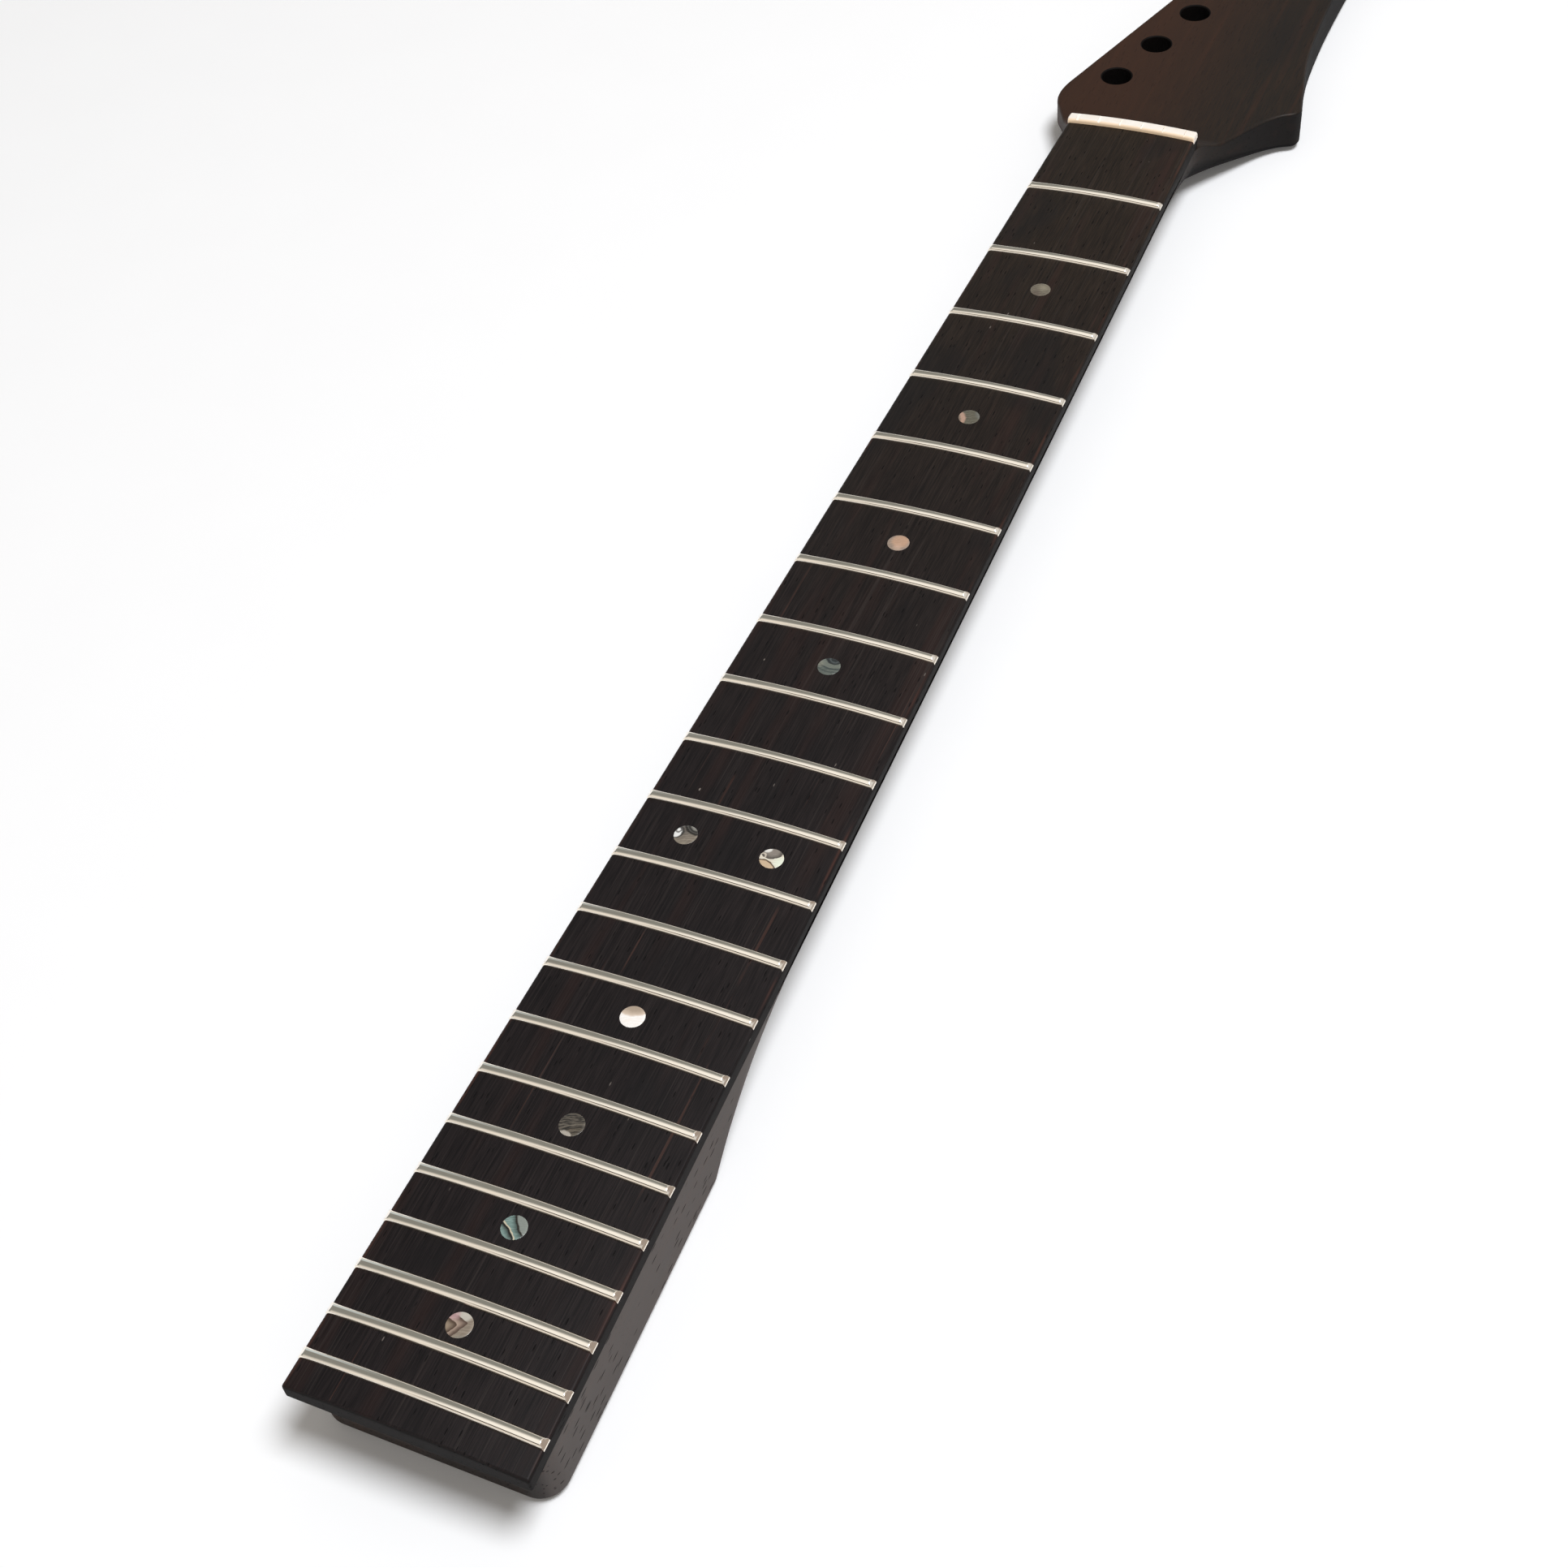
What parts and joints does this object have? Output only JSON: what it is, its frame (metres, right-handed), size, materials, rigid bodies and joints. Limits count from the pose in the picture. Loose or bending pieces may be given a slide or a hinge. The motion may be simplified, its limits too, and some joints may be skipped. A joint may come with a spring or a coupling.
{
  "type": "electric guitar neck",
  "caption": "Bolt-on electric guitar neck in dark wood: fretted fingerboard with shell dots, bone nut, flat headstock with tuner holes in one line, and a truss rod turned at the heel.",
  "frame": {"origin": "centre of the heel's flat back", "axes": "+Y runs along the neck from the heel to the headstock, +Z to the playing side, +X to the treble side"},
  "size_m": [0.0792, 0.6584, 0.026],
  "materials": {
    "neck_wood": "dark open-pored hardwood, oiled satin",
    "board_wood": "near-black fine-grained hardwood, oiled satin",
    "fret_wire": "polished nickel silver",
    "nut_bone": "cream bone, softly polished",
    "marker_shell": "figured shell, polished",
    "side_marker_shell": "pale shell, polished",
    "rod_steel": "plain drawn steel",
    "rod_brass": "machined brass",
    "adjuster_steel": "blackened steel"
  },
  "bodies": {
    "neck": {"neck": "neck_wood", "fingerboard": "board_wood", "nut": "nut_bone", "fret_01": "fret_wire", "fret_02": "fret_wire", "fret_03": "fret_wire", "fret_04": "fret_wire", "fret_05": "fret_wire", "fret_06": "fret_wire", "fret_07": "fret_wire", "fret_08": "fret_wire", "fret_09": "fret_wire", "fret_10": "fret_wire", "fret_11": "fret_wire", "fret_12": "fret_wire", "fret_13": "fret_wire", "fret_14": "fret_wire", "fret_15": "fret_wire", "fret_16": "fret_wire", "fret_17": "fret_wire", "fret_18": "fret_wire", "fret_19": "fret_wire", "fret_20": "fret_wire", "fret_21": "fret_wire", "fret_22": "fret_wire", "marker_03": "marker_shell", "marker_05": "marker_shell", "marker_07": "marker_shell", "marker_09": "marker_shell", "marker_12_bass": "marker_shell", "marker_12_treble": "marker_shell", "marker_15": "marker_shell", "marker_17": "marker_shell", "marker_19": "marker_shell", "marker_21": "marker_shell", "side_marker_03": "side_marker_shell", "side_marker_05": "side_marker_shell", "side_marker_07": "side_marker_shell", "side_marker_09": "side_marker_shell", "side_marker_12_bass": "side_marker_shell", "side_marker_12_treble": "side_marker_shell", "side_marker_15": "side_marker_shell", "side_marker_17": "side_marker_shell", "side_marker_19": "side_marker_shell", "side_marker_21": "side_marker_shell", "truss_rod_bar": "rod_steel", "truss_rod_heel_block": "rod_brass", "truss_rod_nut_block": "rod_brass"},
    "truss_rod": {"truss_rod_threaded": "rod_steel", "truss_rod_adjusting_nut": "adjuster_steel"}
  },
  "joints": [
    {"name": "truss_rod_turn", "type": "hinge", "parent": "neck", "child": "truss_rod", "pos_m": [0, -0.029, 0.0129], "axis": [0, 1, 0], "range_deg": [-450, 450]}
  ]
}
